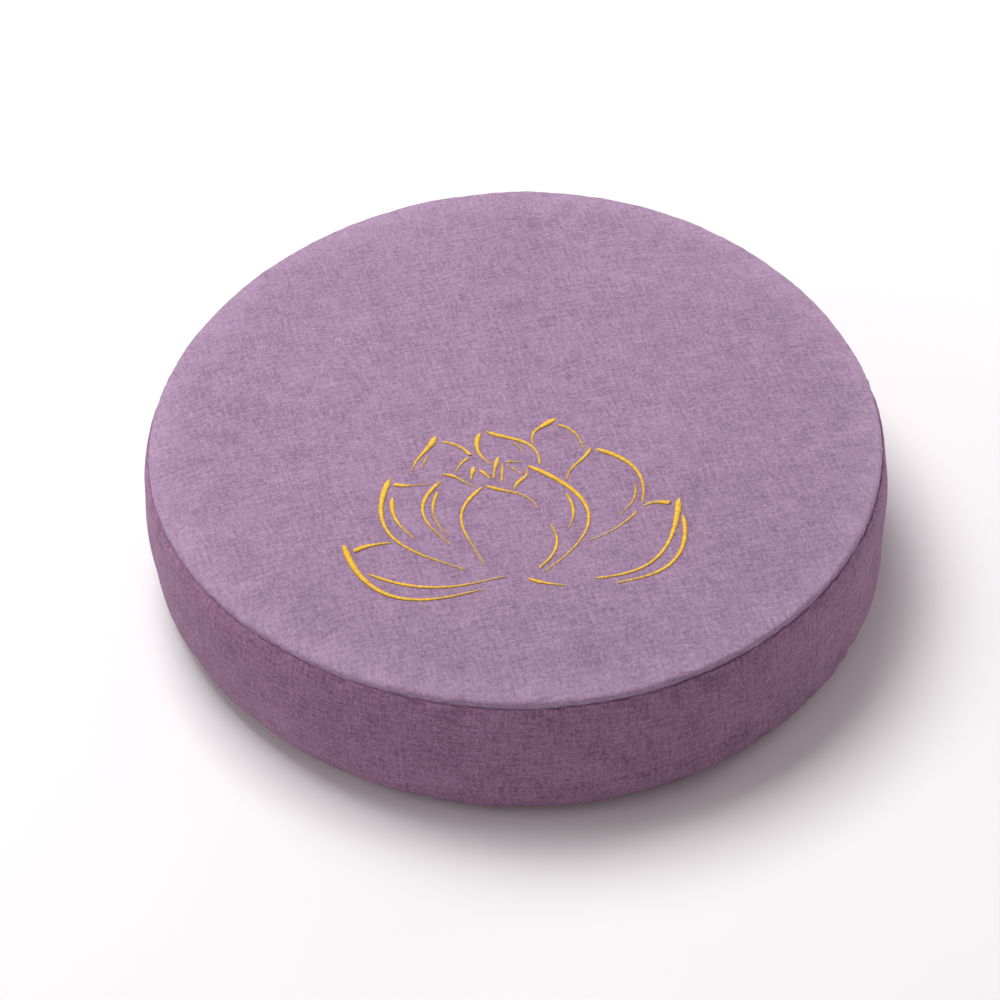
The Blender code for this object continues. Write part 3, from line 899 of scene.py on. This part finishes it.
def area_light(light):
    """A square soft light that faces the cushion."""
    data = bpy.data.lights.new(light.name, "AREA")
    data.energy = light.power
    data.size = light.size
    data.color = light.colour
    obj = add_object(light.name, data)
    obj.location = light.place
    obj.rotation_euler = facing(np.array(light.place) - (0.0, 0.0, SEAM_HEIGHT))


def facing(back):
    """Euler angles of a light whose back points along a direction."""
    back = np.array(back, float) / np.linalg.norm(back)
    tilt = math.acos(back[2])
    return (tilt, 0.0, math.atan2(back[0], -back[1]))


def studio_light():
    for light in STUDIO_LIGHTS:
        area_light(light)
    world = bpy.data.worlds.new("studio")
    world.use_nodes = True
    background = world.node_tree.nodes["Background"]
    background.inputs["Color"].default_value = ROOM_COLOUR
    background.inputs["Strength"].default_value = ROOM_STRENGTH
    bpy.context.scene.world = world
    bpy.context.scene.view_settings.view_transform = "Standard"


# The photograph's camera, worked out from the outline and the seam
CAMERA_DISTANCE = 2.0
CAMERA_ELEVATION = 44.67
CAMERA_ROLL = -2.67
CAMERA_LENS = 130.1
CAMERA_SENSOR = 36
CAMERA_AIM_HEIGHT = 43 * MM
AIM_RIGHT = -10.0 * MM
AIM_UP = -6.5 * MM


def photo_camera():
    """Camera in front of the cushion and above it, rolled a little, aimed just beside its middle."""
    tilt = math.radians(CAMERA_ELEVATION)
    roll = math.radians(CAMERA_ROLL)
    forward = np.array([0.0, math.cos(tilt), -math.sin(tilt)])
    level = np.array([1.0, 0.0, 0.0])
    upright = np.cross(level, forward)
    right = math.cos(roll) * level + math.sin(roll) * upright
    up = -math.sin(roll) * level + math.cos(roll) * upright
    aim = np.array([-MIDDLE[0], -MIDDLE[1], CAMERA_AIM_HEIGHT])
    place = aim - forward * CAMERA_DISTANCE
    view = aim + AIM_RIGHT * right + AIM_UP * up - place
    view /= np.linalg.norm(view)
    right = right - view * (right @ view)
    right /= np.linalg.norm(right)
    up = np.cross(right, view)
    data = bpy.data.cameras.new("photo_camera")
    data.lens = CAMERA_LENS
    data.sensor_width = CAMERA_SENSOR
    camera = add_object("photo_camera", data)
    matrix = np.eye(4)
    matrix[:3, 0] = right
    matrix[:3, 1] = up
    matrix[:3, 2] = -view
    matrix[:3, 3] = place
    camera.matrix_world = matrix.T.tolist()
    bpy.context.scene.camera = camera


def build():
    photo_camera()
    cover, grid, section, angles = build_cover()
    cover.data.materials.append(cloth_finish())
    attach(cover, "root")
    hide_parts("cushion")
    cover_height = CoverHeight(grid, section, angles)
    gold = gold_finish()
    random = np.random.default_rng(STITCH_SEED)
    for line in LOTUS_LINES:
        stitched = add_object("stitched_" + line.name, stitched_mesh(line, cover_height, random))
        stitched.data.materials.append(gold)
        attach(stitched, "root")
        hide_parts(line.name)
    pale_floor()
    studio_light()


build()
